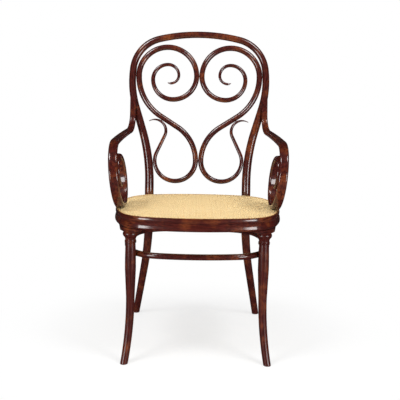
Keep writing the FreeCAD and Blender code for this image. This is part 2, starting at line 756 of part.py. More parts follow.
def arm_band():
    """Right arm: a rounded band, narrower at its upper end, resting flat on the seat."""
    wide = size("arm_width")
    thick = size("arm_thickness")
    top_width = size("arm_top_width")
    shapes = [(top_width, thick), (top_width, thick), (size("arm_rest_width"), thick),
              (wide, thick), (wide, thick), (wide, thick),
              (size("arm_eye_width"), size("arm_eye_thickness"))]
    sections = []
    for joint, (width, thickness) in enumerate(shapes):
        edge = size("arm_edge_radius") * thickness / thick
        sections.append(band_section(arm_path, joint, width, thickness, edge))
    band = bent_bar(arm_path, sections)

    # Upper end rounded to a half circle, seen from the front
    half = top_width / 2
    centre = arm_path.points[0] - BACK_UP * half - BACK_FRONT * thick
    block = Part.makeBox(4 * half, 2 * half, 2 * thick, Vector(-2 * half, 0, 0))
    rounding = block.cut(Part.makeCylinder(half, 2 * thick))
    turn = Rotation(RIGHT, BACK_UP, BACK_FRONT, "ZXY")
    rounding.Placement = FreeCAD.Placement(centre, turn)
    band = band.cut(rounding)

    # Foot of the volute, cut level with the seat
    reach = size("arm_bend_radius")
    level = Part.makeBox(reach, 2 * reach, reach)
    level.translate(Vector(volute_foot.x - reach / 2, volute_foot.y - reach, rest_top - reach))
    return band.cut(level)


# Front leg


def leg_turning():
    """Tenon, capital, hollow, small rings and swelling shaft, turned about the leg's axis."""
    axis_x = leg_axis.x
    axis_y = leg_axis.y

    def at(diameter, height):
        return Vector(axis_x + diameter / 2, axis_y, height)

    tenon = size("tenon_diameter")
    tenon_top = ring_bottom + size("tenon_depth")
    capital_foot = leg_top - size("capital_height")
    cove_foot = capital_foot - size("cove_height")
    collar = size("collar_height")
    collar_foot = cove_foot - 2 * collar
    neck = size("leg_neck_diameter")
    cove = size("cove_diameter")
    capital = size("capital_diameter")
    lip = (capital + cove) / 2
    swell_height = size("leg_swell_height")
    swell = size("leg_swell_diameter")
    shaft_middle = (collar_foot + swell_height) / 2
    shaft_bulge = swell - (swell - neck) / 4
    edges = [
        Part.makeLine(at(0, tenon_top), at(tenon, tenon_top)),
        Part.makeLine(at(tenon, tenon_top), at(tenon, leg_top)),
        Part.makeLine(at(tenon, leg_top), at(lip, leg_top)),
        Part.Arc(at(lip, leg_top), at(capital, (leg_top + capital_foot) / 2),
                 at(lip, capital_foot)).toShape(),
        Part.Arc(at(lip, capital_foot), at(cove, (capital_foot + 2 * cove_foot) / 3),
                 at(cove, cove_foot)).toShape(),
    ]
    for count in range(2):
        top = cove_foot - count * collar
        start = cove if count == 0 else neck
        edges.append(Part.Arc(at(start, top), at(size("collar_diameter"), top - collar / 2),
                              at(neck, top - collar)).toShape())
    edges += [
        Part.Arc(at(neck, collar_foot), at(shaft_bulge, shaft_middle),
                 at(swell, swell_height)).toShape(),
        Part.makeLine(at(swell, swell_height), at(0, swell_height)),
        Part.makeLine(at(0, swell_height), at(0, tenon_top)),
    ]
    return Part.Face(Part.Wire(edges)).revolve(leg_axis, UP, 360)


def leg_foot():
    """Lower leg: tapering shaft that curves out and forwards to the floor."""
    ankle = size("leg_ankle_height")
    kick = degrees("leg_kick")
    toe = degrees("leg_kick_heading")
    level = Vector(math.sin(toe), -math.cos(toe), 0)
    axis = (UP * -1).cross(level).normalize()
    swell_height = size("leg_swell_height")
    path = BentPath(leg_axis + UP * swell_height, UP * -1, axis)
    path.straight(swell_height - ankle)
    path.bend(ankle / math.sin(kick), kick, axis)
    path.straight(size("leg_foot_diameter"))
    diameters = [size("leg_swell_diameter"), size("leg_ankle_diameter"),
                 size("leg_foot_diameter"), size("leg_foot_diameter")]
    return tapered_rod(path, diameters)


def leg_block():
    """Block under the ring, longer at the top, whose foot carries the leg's capital."""
    outer = size("ring_corner_radius") - size("block_inset")
    inner = outer - size("block_width")

    def sector(spread, height):
        low = math.radians(size("leg_bearing") - spread)
        high = math.radians(size("leg_bearing") + spread)

        def at(radius, angle):
            spoke = Vector(math.cos(angle), -math.sin(angle), 0)
            return seat_oval.corner + spoke * radius + UP * height

        middle = (low + high) / 2
        return Part.Wire([
            Part.Arc(at(outer, low), at(outer, middle), at(outer, high)).toShape(),
            Part.makeLine(at(outer, high), at(inner, high)),
            Part.Arc(at(inner, high), at(inner, middle), at(inner, low)).toShape(),
            Part.makeLine(at(inner, low), at(outer, low)),
        ])

    sections = [sector(size("block_top_angle"), ring_bottom),
                sector(size("block_foot_angle"), leg_top)]
    return Part.makeLoft(sections, True, True)


# Leg ring, which touches the four legs from inside


def rear_leg_place(height):
    """Centre of a back leg at a height below the upright stretch."""
    side = math.tan(degrees("rear_splay_side"))
    back = math.tan(degrees("rear_splay_back"))
    level = Vector(side, back, 0)
    level.normalize()
    radius = size("rear_bend_radius")
    drop = ring_bottom - size("rear_straight") - height
    away = radius - math.sqrt(radius ** 2 - drop ** 2)
    return Vector(post_x, post_y, 0) + level * away


def front_leg_radius(height):
    """Half the thickness of a front leg between its thickest place and its small rings."""
    collar_foot = (leg_top - size("capital_height") - size("cove_height")
                   - 2 * size("collar_height"))
    share = (height - size("leg_swell_height")) / (collar_foot - size("leg_swell_height"))
    bulge = 4 * share * (1 - share) * (size("leg_swell_diameter") - size("leg_neck_diameter")) / 4
    straight = size("leg_swell_diameter") * (1 - share) + size("leg_neck_diameter") * share
    return (straight + bulge) / 2


rod_radius = size("leg_ring_diameter") / 2
stay_z = size("leg_ring_height")
stay_x = leg_axis.x - size("leg_ring_corner_inset")
stay_corner = size("leg_ring_corner_radius")
rear_leg = rear_leg_place(stay_z)
front_reach = stay_corner + rod_radius + gap + front_leg_radius(stay_z)
rear_reach_stay = stay_corner + rod_radius + gap + rear_leg_radius(stay_z)
stay_front = leg_axis.y + math.sqrt(front_reach ** 2 - (leg_axis.x - stay_x) ** 2)
stay_rear = rear_leg.y - math.sqrt(rear_reach_stay ** 2 - (rear_leg.x - stay_x) ** 2)
stay_oval = Oval(stay_x, stay_front, stay_rear, stay_corner, size("leg_ring_side_radius"),
                 size("leg_ring_end_radius"))

stay_spine = keep("leg_ring_spine", stay_oval.wire(0, stay_z))
stay_section = feature("Part::Circle", "leg_ring_section", Radius="sizes.leg_ring_diameter / 2")
stay_section.Placement = FreeCAD.Placement(
    Vector(0, stay_oval.front.y - size("leg_ring_end_radius"), stay_z), Rotation(UP, RIGHT))
stay_blank = document.addObject("Part::Sweep", "leg_ring_blank")
stay_blank.Sections = [stay_section]
stay_blank.Spine = (stay_spine, [f"Edge{k + 1}" for k in range(len(stay_spine.Shape.Edges))])
stay_blank.Solid = True
stay_blank.Frenet = False

# Screws, each with the bore that it needs

grip = size("screw_grip")

# Scroll to hoop: from inside the lobe outwards
scroll_hoop = wood_screw(on_back(meet_u - scroll_radius, meet_v), RIGHT,
                         2 * scroll_radius + gap + grip)

# Scroll to post: from inside the lower loop outwards, square to the post
to_post = in_back(math.cos(post_lean), -math.sin(post_lean))
post_touch = on_back(loop_u, loop_v) + to_post * (loop_radius - touch_radius)
scroll_post = wood_screw(post_touch, to_post, 2 * touch_radius + gap + grip)

# Scroll to scroll: from the left rod into the right one, at the upper and the lower meeting
pair_length = 2 * middle_radius + gap + grip
pair_heads = [on_back(-middle_u - middle_radius, v) for v in (meet_v, loop_v)]
scroll_pair = [wood_screw(head, RIGHT, pair_length) for head in pair_heads]

# Hook to the rod above: from inside the hook
to_rod = in_back(-math.cos(sweep), math.sin(sweep))
hook_head = (on_back(hook_centre.x, hook_centre.y)
             + to_rod * (size("hook_radius") - hook_rod_radius))
scroll_hook = wood_screw(hook_head, to_rod, 2 * hook_rod_radius + gap + size("small_grip"), small=True)

# Arm to hoop: two screws from behind, through the hoop
arm_hoop = []
for quarters in (1, 3):
    v = lap_v - size("arm_lap") * quarters / 4
    u = hoop_line(v)[0]
    start = on_back(u, v) - BACK_FRONT * hoop_radius(v)
    stand_off = hoop_radius(v) + hoop_radius(lap_foot_v) + gap
    arm_hoop.append(wood_screw(start, BACK_FRONT, stand_off + grip))

# Arm to seat: from under the ring up into the volute's foot
arm_seat_start = Vector(volute_foot.x, volute_foot.y, ring_bottom + size("screw_diameter"))
arm_seat = wood_screw(arm_seat_start, UP, rest_top - arm_seat_start.z + grip)

# Leg ring to legs: from inside the ring outwards
stay_screws = []
for leg, corner in ((leg_axis, stay_oval.corner), (rear_leg, stay_oval.rear_corner)):
    spoke = Vector(leg.x - corner.x, leg.y - corner.y, 0)
    spoke.normalize()
    head = corner + spoke * (stay_corner - rod_radius) + UP * stay_z
    stay_screws.append(wood_screw(head, spoke, 2 * rod_radius + gap + grip))

# Bolts through the back posts and the ring, square to the ring's edge

spoke = Vector(post_x - seat_oval.rear_corner.x, post_y - seat_oval.rear_corner.y, 0)
post_out = spoke.Length
spoke.normalize()
bolt_z = seat_top - size("bolt_height")
post_radius = size("post_diameter") / 2
head_radius = size("bolt_head_diameter") / 2
dish = post_radius - math.sqrt(post_radius ** 2 - (head_radius + size("bore_gap")) ** 2)
ring_inner = size("ring_corner_radius") - size("ring_band")
head_seat = post_out + post_radius - dish
washer_seat = ring_inner + size("seat_face_depth")
bolt_reach = head_seat - washer_seat + size("washer_thickness") + size("nut_height")
bolt_turn = Rotation(UP, spoke * -1)


def along_bolt(distance):
    """Point on the right bolt's axis at a distance from the ring's corner centre."""
    return seat_oval.rear_corner + spoke * distance + UP * bolt_z


def bolt_body():
    """Round bolt with a domed head, along +Z from the underside of its head."""
    radius = size("bolt_diameter") / 2
    rise = size("bolt_head_height")
    length = bolt_reach + size("bolt_spare")
    rim = rise / 4
    shoulder = (rise + rim) * math.sqrt(0.5)
    dome = Part.Arc(Vector(0, 0, -rise), Vector(head_radius * math.sqrt(0.5), 0, -shoulder),
                    Vector(head_radius, 0, -rim))
    corners = [Vector(head_radius, 0, -rim), Vector(head_radius, 0, 0), Vector(radius, 0, 0),
               Vector(radius, 0, length), Vector(0, 0, length), Vector(0, 0, -rise)]
    lines = [Part.makeLine(a, b) for a, b in zip(corners, corners[1:])]
    return Part.Face(Part.Wire([dome.toShape()] + lines)).revolve(Vector(), UP, 360)


seat_bolt = keep("seat_bolt", aimed(bolt_body(), along_bolt(head_seat), spoke * -1))

washer_disc = feature("Part::Cylinder", "washer_disc", Radius="sizes.washer_diameter / 2",
                      Height="sizes.washer_thickness")
washer_hole = feature("Part::Cylinder", "washer_hole", Height="sizes.washer_thickness",
                      Radius="sizes.bolt_diameter / 2 + sizes.bore_gap")
nut_block = feature("Part::Prism", "nut_block", Circumradius="sizes.nut_across_corners / 2",
                    Height="sizes.nut_height")
nut_block.Polygon = 6
nut_hole = feature("Part::Cylinder", "nut_hole", Height="sizes.nut_height",
                   Radius="sizes.bolt_diameter / 2 + sizes.bore_gap")
for item in (washer_disc, washer_hole):
    item.Placement = FreeCAD.Placement(along_bolt(washer_seat), bolt_turn)
for item in (nut_block, nut_hole):
    nut_seat = washer_seat - size("washer_thickness")
    item.Placement = FreeCAD.Placement(along_bolt(nut_seat), bolt_turn)
washer = document.addObject("Part::Cut", "washer")
washer.Base = washer_disc
washer.Tool = washer_hole
nut = document.addObject("Part::Cut", "nut")
nut.Base = nut_block
nut.Tool = nut_hole

bolt_bore = aimed(Part.makeCylinder(size("bolt_diameter") / 2 + size("bore_gap"),
                                    bolt_reach + size("bolt_spare")),
                  along_bolt(head_seat), spoke * -1)
head_bore = aimed(Part.makeCylinder(head_radius + size("bore_gap"), post_radius),
                  along_bolt(head_seat), spoke)
washer_bore = aimed(Part.makeCylinder(size("washer_diameter") / 2 + size("bore_gap"), ring_inner),
                    along_bolt(washer_seat), spoke * -1)
post_notch = Part.makeCylinder(post_radius + gap,
                               size("ring_height") + size("binder_thickness") + 2 * gap,
                               Vector(post_x, post_y, ring_bottom - gap))
tenon_bore = Part.makeCylinder(size("tenon_diameter") / 2 + size("bore_gap"),
                               size("tenon_depth") + size("block_height") + size("bore_gap"),
                               Vector(leg_axis.x, leg_axis.y, leg_top))

# The pieces

hoop_bores = [bore for screw, bore in arm_hoop] + [
    scroll_hoop[1], scroll_post[1], stay_screws[1][1], bolt_bore, head_bore]
half_hoop = above_floor(hoop_half())
hoop_blank = keep("hoop_blank", half_hoop.fuse(flip(half_hoop)).removeSplitter())
back_hoop = drilled("back_hoop", hoop_blank, hoop_bores + [flip(bore) for bore in hoop_bores])

scroll_blank = keep("scroll_blank", scroll_rod())
scroll_twin = mirrored("scroll_twin", scroll_blank)
scroll_bores = [scroll_hoop[1], scroll_post[1], scroll_hook[1]]
pair_bores = [bore for screw, bore in scroll_pair]
scroll_right = drilled("scroll_right", scroll_blank, scroll_bores + pair_bores)
scroll_left = drilled("scroll_left", scroll_twin,
                      [flip(bore) for bore in scroll_bores] + pair_bores)

arm_bores = [bore for screw, bore in arm_hoop] + [arm_seat[1]]
arm_blank = keep("arm_blank", arm_band())
arm_right = drilled("arm_right", arm_blank, arm_bores)
arm_left = mirrored("arm_left", arm_right)

ring_bores = [post_notch, tenon_bore, bolt_bore, washer_bore, arm_seat[1]]
seat_ring = drilled("seat_ring", ring_blank, ring_bores + [flip(bore) for bore in ring_bores])
cane_bores = [arm_seat[1], flip(arm_seat[1])]
cane_panel = drilled("cane_panel", cane_blank, cane_bores + [post_notch, flip(post_notch)])
cane_binder = drilled("cane_binder", binder_blank, cane_bores + [post_notch, flip(post_notch)])

block_blank = keep("block_blank", leg_block())
leg_block_right = drilled("leg_block_right", block_blank, [tenon_bore])
leg_block_left = mirrored("leg_block_left", leg_block_right)

leg_upper = keep("leg_upper", leg_turning())
leg_lower = keep("leg_lower", above_floor(leg_foot()))
leg_blank = document.addObject("Part::Fuse", "leg_blank")
leg_blank.Base = leg_upper
leg_blank.Tool = leg_lower
front_leg_right = drilled("front_leg_right", leg_blank, [stay_screws[0][1]])
front_leg_left = mirrored("front_leg_left", front_leg_right)

stay_bores = [bore for screw, bore in stay_screws]
leg_ring = drilled("leg_ring", stay_blank, stay_bores + [flip(bore) for bore in stay_bores])


def both_sides(name, piece):
    """A fastener on the right and its twin on the left, as one group."""
    return group(name, [piece, mirrored(name + "_twin", piece)])


def screw_group(name, screws):
    """Screws of the right side and their twins on the left, as one group."""
    shapes = [screw for screw, bore in screws]
    return keep(name, Part.makeCompound(shapes + [flip(shape) for shape in shapes]))


fasteners = [
    both_sides("seat_bolts", seat_bolt),
    both_sides("seat_bolt_washers", washer),
    both_sides("seat_bolt_nuts", nut),
    screw_group("arm_hoop_screws", arm_hoop),
    screw_group("arm_seat_screws", [arm_seat]),
    screw_group("scroll_hoop_screws", [scroll_hoop]),
    screw_group("scroll_post_screws", [scroll_post]),
    screw_group("scroll_hook_screws", [scroll_hook]),
    keep("scroll_middle_screws", Part.makeCompound([screw for screw, bore in scroll_pair])),
    screw_group("leg_ring_screws", stay_screws),
]
pieces = [back_hoop, scroll_left, scroll_right, arm_left, arm_right, seat_ring, cane_panel,
          cane_binder, leg_block_left, leg_block_right, front_leg_left, front_leg_right, leg_ring]
pieces += fasteners

document.recompute()
for item in document.Objects:
    if "Invalid" in item.State or "Error" in item.State:
        raise RuntimeError(f"{item.Label} did not build: {item.State}")
for piece in pieces:
    if piece.Shape.isNull() or not piece.Shape.isValid():
        raise RuntimeError(f"{piece.Label} has no valid shape")

os.makedirs("parts", exist_ok=True)
for piece in pieces:
    piece.Shape.exportStep(f"parts/{piece.Label}.step")
    print(f"{piece.Label}: {len(piece.Shape.Solids)} solids, {piece.Shape.Volume / 1000:.1f} cm3")
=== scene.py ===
"""Looks of a bentwood armchair: polished stain, woven cane, bound rim and a plain studio.

Metres, +Z up, the front of the chair towards -Y, as in the solids that it is built around.
"""
import json
import math

import bpy
import numpy as np
from mathutils import Matrix, Vector


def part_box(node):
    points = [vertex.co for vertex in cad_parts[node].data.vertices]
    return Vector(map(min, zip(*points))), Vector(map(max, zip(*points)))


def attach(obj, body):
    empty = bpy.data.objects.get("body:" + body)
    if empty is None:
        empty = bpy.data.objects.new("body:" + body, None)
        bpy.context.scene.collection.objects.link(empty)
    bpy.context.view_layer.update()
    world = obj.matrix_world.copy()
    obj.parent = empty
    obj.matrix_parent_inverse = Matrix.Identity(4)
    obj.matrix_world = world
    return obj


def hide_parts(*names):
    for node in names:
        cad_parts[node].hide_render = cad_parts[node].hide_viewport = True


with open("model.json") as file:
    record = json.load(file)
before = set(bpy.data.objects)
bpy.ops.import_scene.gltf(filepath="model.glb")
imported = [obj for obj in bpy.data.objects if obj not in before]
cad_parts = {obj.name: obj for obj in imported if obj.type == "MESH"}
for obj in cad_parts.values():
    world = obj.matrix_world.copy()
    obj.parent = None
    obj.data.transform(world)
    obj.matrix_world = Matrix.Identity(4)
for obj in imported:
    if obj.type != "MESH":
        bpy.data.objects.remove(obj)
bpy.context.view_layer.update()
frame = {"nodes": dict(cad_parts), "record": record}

MM = 0.001

# The seat's plan: the rim of the cane is an oval of eight arcs round the panel's own box
panel_low, panel_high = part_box("cane_panel")
CENTRE_Y = (panel_low.y + panel_high.y) / 2
HALF_WIDTH = (panel_high.x - panel_low.x) / 2
HALF_DEPTH = (panel_high.y - panel_low.y) / 2
RIM_INSET = 6.3 * MM
SIDE_RADIUS = 430 * MM - RIM_INSET
END_RADIUS = 620 * MM - RIM_INSET
CORNER_RADIUS = 120 * MM - RIM_INSET
RIM_SAMPLES = 20001

# Back posts where they pass the seat
POST_X = 171.5 * MM
POST_Y = CENTRE_Y + 230 * MM
POST_CLEAR = 16 * MM

# Cane: holes three eighths of an inch apart, two strands each way and one on each diagonal
PITCH = 9.5 * MM
STRAND_WIDTH = 1.9 * MM
STRAND_THICKNESS = 0.5 * MM
PAIR_OFFSET = 1.1 * MM
PAIR_RISE = 0.3 * MM
DIAGONAL_RISE = 0.62 * MM
WEAVE_HEIGHT = panel_low.z + 1.1 * MM

# Strands are tried along a line longer than the seat, and end a little inside its rim
STRAND_REACH = 1.5 * HALF_WIDTH
STRAND_SAMPLES = 1601
STRAND_END = 2.2 * MM
SHORTEST_STEP = 0.2 * MM

# Binder over the ends of the cane, and the ties that hold it down
BINDER_WIDTH = 3.4 * MM
BINDER_INSET = 2.3 * MM
BINDER_STEP = 2.5 * MM
TIE_WIDTH = 2.4 * MM
TIE_THICKNESS = 0.3 * MM

# A tie's way over the binder: insets from the rim, and heights over the cane there
TIE_INSETS = np.array([5.4, 4.6, 3.6, 2.3, 0.9, -0.4, -1.8, -2.6]) * MM
TIE_RISES = np.array([-0.6, 0.5, 1.05, 1.25, 1.1, 0.6, 0.3, -0.2]) * MM

# Share of the room for one band that its width takes up in UV
UV_WIDTH = 0.8


def linear(colour):
    """Linear RGBA of an sRGB hex colour."""
    channels = [int(colour[place:place + 2], 16) / 255 for place in (1, 3, 5)]
    return [c / 12.92 if c <= 0.04045 else ((c + 0.055) / 1.055) ** 2.4 for c in channels] + [1.0]


def connect(tree, made, inputs):
    """Gives a shader node's sockets their values, or links them from outputs."""
    for socket, value in dict(inputs).items():
        if isinstance(value, bpy.types.NodeSocket):
            tree.links.new(value, made.inputs[socket])
        else:
            made.inputs[socket].default_value = value


def node(tree, kind, inputs=(), **properties):
    """One shader node, with its properties set and its sockets connected."""
    made = tree.nodes.new(kind)
    for name, value in properties.items():
        setattr(made, name, value)
    connect(tree, made, inputs)
    return made


# Plan of the cane's rim


def arc_centres():
    """Centres of the rim's arcs: x of the side's, y of the end's, and the corner's place. That
    is as far from the other two as their radii exceed the corner's: where two circles cross."""
    side = np.array([HALF_WIDTH - SIDE_RADIUS, 0.0])
    end = np.array([0.0, HALF_DEPTH - END_RADIUS])
    from_end = END_RADIUS - CORNER_RADIUS
    from_side = SIDE_RADIUS - CORNER_RADIUS
    line = side - end
    apart = np.hypot(*line)
    line = line / apart
    along = (from_end ** 2 - from_side ** 2 + apart ** 2) / (2 * apart)
    off = math.sqrt(from_end ** 2 - along ** 2)
    return side[0], end[1], end + line * along + np.array([line[1], -line[0]]) * off


SIDE_X, END_Y, (CORNER_X, CORNER_Y) = arc_centres()
SIDE_BEARING = math.atan2(CORNER_Y, CORNER_X - SIDE_X)
END_BEARING = math.atan2(CORNER_Y - END_Y, CORNER_X)


def beyond_rim(x, y):
    """Distance outside the rim, negative inside: to the corner's arc between its two spokes,
    and otherwise to the side's or the end's arc."""
    across = np.abs(x)
    deep = np.abs(y)
    bearing = np.arctan2(deep - CORNER_Y, across - CORNER_X)
    to_side = np.hypot(across - SIDE_X, deep) - SIDE_RADIUS
    to_end = np.hypot(across, deep - END_Y) - END_RADIUS
    to_corner = np.hypot(across - CORNER_X, deep - CORNER_Y) - CORNER_RADIUS
    by_side = (bearing < SIDE_BEARING) & (bearing > -math.pi / 2)
    by_corner = (bearing >= SIDE_BEARING) & (bearing <= END_BEARING)
    return np.where(by_corner, to_corner, np.where(by_side, to_side, np.maximum(to_end, to_side)))


def rim_point(bearing, inset):
    """Point of the rim whose outward normal has a bearing, drawn in by an inset: that normal
    times the radius of the arc that faces it, from the arc's centre."""
    c = np.abs(np.cos(bearing))
    s = np.abs(np.sin(bearing))
    turn = np.arctan2(s, c)
    on_side = turn < SIDE_BEARING
    on_end = turn > END_BEARING
    centre_x = np.where(on_side, SIDE_X, np.where(on_end, 0.0, CORNER_X))
    centre_y = np.where(on_side, 0.0, np.where(on_end, END_Y, CORNER_Y))
    radius = np.where(on_side, SIDE_RADIUS, np.where(on_end, END_RADIUS, CORNER_RADIUS)) - inset
    x = np.sign(np.cos(bearing)) * (centre_x + radius * c)
    y = np.sign(np.sin(bearing)) * (centre_y + radius * s)
    return x, y


def even_bearings(spacing, inset):
    """Bearings of points at even distances round the rim, from the right back post's side:
    distance is summed along a fine outline and read back at the even steps."""
    start = math.atan2(POST_Y - CENTRE_Y - CORNER_Y, POST_X - CORNER_X)
    fine = np.linspace(start, start + 2 * math.pi, RIM_SAMPLES)
    x, y = rim_point(fine, inset)
    length = np.concatenate([[0.0], np.cumsum(np.hypot(np.diff(x), np.diff(y)))])
    count = int(round(length[-1] / spacing))
    return np.interp(np.arange(count + 1) * length[-1] / count, length, fine)


def clear_of_posts(x, y):
    """True outside both back posts."""
    return np.hypot(np.abs(x) - POST_X, y + CENTRE_Y - POST_Y) > POST_CLEAR


# Bands carried along paths


def band_profile(width, thickness):
    """Split cane in section: flat below and rounded above, anticlockwise from its lower left."""
    across = np.array([-0.5, 0.5, 0.3, 0.0, -0.3]) * width
    above = np.array([-0.5, -0.5, 0.32, 0.5, 0.32]) * thickness
    return np.stack([across, above], 1)


def smooth_piece(name, points, loops, sizes, uv):
    """Object from points, the corners of all faces in one row, and each face's number of
    corners, shaded smooth. Points that no face uses are left out."""
    starts = np.concatenate([[0], np.cumsum(sizes)[:-1]])
    used, places = np.unique(loops, return_inverse=True)
    mesh = bpy.data.meshes.new(name)
    mesh.vertices.add(len(used))
    mesh.vertices.foreach_set("co", points[used].astype(np.float32).ravel())
    mesh.loops.add(len(loops))
    mesh.loops.foreach_set("vertex_index", places.astype(np.int32))
    mesh.polygons.add(len(starts))
    mesh.polygons.foreach_set("loop_start", starts.astype(np.int32))
    mesh.polygons.foreach_set("use_smooth", np.ones(len(starts), bool))
    layer = mesh.uv_layers.new(name="strand")
    layer.data.foreach_set("uv", uv[loops].astype(np.float32).ravel())
    mesh.update(calc_edges=True)
    mesh.validate()
    piece = bpy.data.objects.new(name, mesh)
    bpy.context.scene.collection.objects.link(piece)
    return piece


def bands(name, centres, headings, keep, profile):
    """Mesh of many bands: the profile stands square to each row's heading at each of its
    centres, across along heading x up and above along the rest; steps that keep leaves out
    are open, and both ends of each run are closed. UV is length along and band number."""
    rows, steps = centres.shape[:2]
    count = len(profile)
    sides = np.cross(headings, [0.0, 0.0, 1.0])
    sides /= np.linalg.norm(sides, axis=-1, keepdims=True)
    ups = np.cross(sides, headings)
    points = (centres[:, :, None]
              + sides[:, :, None] * profile[:, 0, None]
              + ups[:, :, None] * profile[:, 1, None])
    index = np.arange(rows * steps * count).reshape(rows, steps, count)
    here = index[:, :-1]
    there = index[:, 1:]
    walls = np.stack([here, there, np.roll(there, -1, 2), np.roll(here, -1, 2)], -1)[keep]
    padded = np.pad(keep, ((0, 0), (1, 1)))
    heads = here[keep & ~padded[:, :-2]]
    tails = there[keep & ~padded[:, 2:]][:, ::-1]
    loops = np.concatenate([walls.ravel(), heads.ravel(), tails.ravel()])
    sizes = np.concatenate([np.full(walls.size // 4, 4), np.full(len(heads) + len(tails), count)])

    stretches = np.linalg.norm(np.diff(centres, axis=1), axis=-1)
    length = np.concatenate([np.zeros((rows, 1)), np.cumsum(stretches, axis=1)], axis=1)
    across = profile[:, 0] / np.ptp(profile[:, 0]) * UV_WIDTH
    number = np.arange(rows)[:, None, None] + 0.5 + across
    uv = np.stack(np.broadcast_arrays(length[:, :, None], number), -1).reshape(-1, 2)
    return smooth_piece(name, points.reshape(-1, 3), loops, sizes, uv)


def weave(name, heading, offsets, stations, heights):
    """One direction of the cane: straight lines at offsets across a heading, each rising and
    falling by its heights at its stations, cut where it meets the rim or a back post."""
    along = np.array([heading[0], heading[1]])
    across = np.array([along[1], -along[0]])
    fine = np.linspace(-STRAND_REACH, STRAND_REACH, STRAND_SAMPLES)
    middle = len(fine) // 2

    def place(distance):
        spots = distance[..., None] * along + offsets[:, None, None] * across
        return spots[..., 0], spots[..., 1]

    x, y = place(np.broadcast_to(fine, (len(offsets), len(fine))))
    inside = (beyond_rim(x, y) < -STRAND_END) & clear_of_posts(x, y)
    closed = np.zeros((len(offsets), 1), bool)
    after = np.argmin(np.concatenate([inside[:, middle:], closed], 1), axis=1)
    before = np.argmin(np.concatenate([inside[:, middle::-1], closed], 1), axis=1)
    high = fine[np.clip(middle + after - 1, 0, len(fine) - 1)]
    low = fine[np.clip(middle - before + 1, 0, len(fine) - 1)]
    full = inside[:, middle] & (high - low > PITCH)

    distance = np.clip(stations, low[:, None], high[:, None])
    x, y = place(distance)
    centres = np.stack([x, y + CENTRE_Y, WEAVE_HEIGHT + heights], -1)[full]
    keep = (np.diff(distance, axis=1) > SHORTEST_STEP)[full]
    headings = np.broadcast_to([along[0], along[1], 0.0], centres.shape)
    return bands(name, centres, headings, keep, band_profile(STRAND_WIDTH, STRAND_THICKNESS))


def pair_stations(cells):
    """Stations along a paired strand: either strand of the crossing pair and half way on."""
    steps = np.array([-PAIR_OFFSET, PAIR_OFFSET, PITCH / 2])
    return (np.arange(-cells, cells + 1)[:, None] * PITCH + steps).ravel()


def paired_strands(name, heading, half_span, half_length, first):
    """Strands that run in pairs from hole to hole, each over one strand of the crossing pair
    and under the other, and the other way round for its neighbour."""
    lines = int(half_span / PITCH)
    cells = int(half_length / PITCH) + 1
    columns = np.arange(-lines, lines + 1)[:, None] * PITCH
    offsets = (columns + np.array([-PAIR_OFFSET, PAIR_OFFSET])).ravel()
    sign = np.tile([first, -first], len(columns))[:, None]
    stations = np.broadcast_to(pair_stations(cells), (len(offsets), 3 * (2 * cells + 1)))
    wave = np.tile([PAIR_RISE, -PAIR_RISE, 0.0], 2 * cells + 1)
    return weave(name, heading, offsets, stations, sign * wave)


def diagonal_strands(name, heading, over_columns):
    """Single strands at 45 degrees that cut the corners of the square openings: each crosses a
    column and a row in turn, over the one and under the other."""
    reach = int((HALF_WIDTH + HALF_DEPTH) / PITCH)
    crossings = (np.arange(-reach, reach) + 0.5) * PITCH
    steps = np.arange(-2 * reach, 2 * reach + 1)
    stations = (steps * PITCH - crossings[:, None]) / math.sqrt(2)
    rise = np.where(steps % 2 == 0, DIAGONAL_RISE, -DIAGONAL_RISE) * over_columns
    heights = np.broadcast_to(rise, stations.shape)
    side = heading[1]
    return weave(name, heading, side * crossings / math.sqrt(2), stations, heights)


def rim_binder():
    """Binder: a rounded band that follows the rim, broken where the back posts stand."""
    bearing = even_bearings(BINDER_STEP, BINDER_INSET)
    x, y = rim_point(bearing, BINDER_INSET)
    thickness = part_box("cane_binder")[1].z - panel_high.z
    height = np.full_like(x, panel_high.z + thickness / 2)
    centres = np.stack([x, y + CENTRE_Y, height], -1)[None]
    headings = np.stack([-np.sin(bearing), np.cos(bearing), np.zeros_like(x)], -1)[None]
    open_here = clear_of_posts(x, y)
    keep = (open_here[1:] & open_here[:-1])[None]
    return bands("rim_binder", centres, headings, keep, band_profile(BINDER_WIDTH, thickness))


def binder_ties():
    """Ties: at every hole a short band comes up inside the binder, arches over it and goes
    down in the wooden rim."""
    bearing = even_bearings(PITCH, BINDER_INSET)[:-1]
    x, y = rim_point(bearing[:, None], TIE_INSETS[None])
    height = np.broadcast_to(panel_high.z + TIE_RISES, x.shape)
    centres = np.stack([x, y + CENTRE_Y, height], -1)
    headings = np.gradient(centres, axis=1)
    headings /= np.linalg.norm(headings, axis=-1, keepdims=True)
    clear = clear_of_posts(x, y).all(1)
    keep = np.ones((clear.sum(), len(TIE_INSETS) - 1), bool)
    return bands("binder_ties", centres[clear], headings[clear], keep,
                 band_profile(TIE_WIDTH, TIE_THICKNESS))


# Materials

WOOD_DEEP = "#270807"
WOOD_MID = "#4c160d"
WOOD_WARM = "#8c481d"
CANE_PALE = "#ffebbb"
CANE_STRAW = "#fcd994"
CANE_TAN = "#cd9450"
TIE_BROWN = "#7d4f2c"
STEEL_DARK = "#2b2624"
STEEL_WORN = "#6d655e"

# Beech grain is finer than a picture element here, so it is drawn as streaks this many mm wide
GRAIN_WIDTH = 3.0
GRAIN_STRETCH = 30
FLECK_SCALE = 0.4
STAIN_PATCH = 55.0
BEECH_IOR = 1.52
BEECH_SHEEN = 0.15
SHELLAC_IOR = 1.55

# Weight and roughness of the shellac: whole on the bent wood, worn on the turned legs
FULL_POLISH = (1.0, 0.1)
WORN_POLISH = (0.5, 0.2)

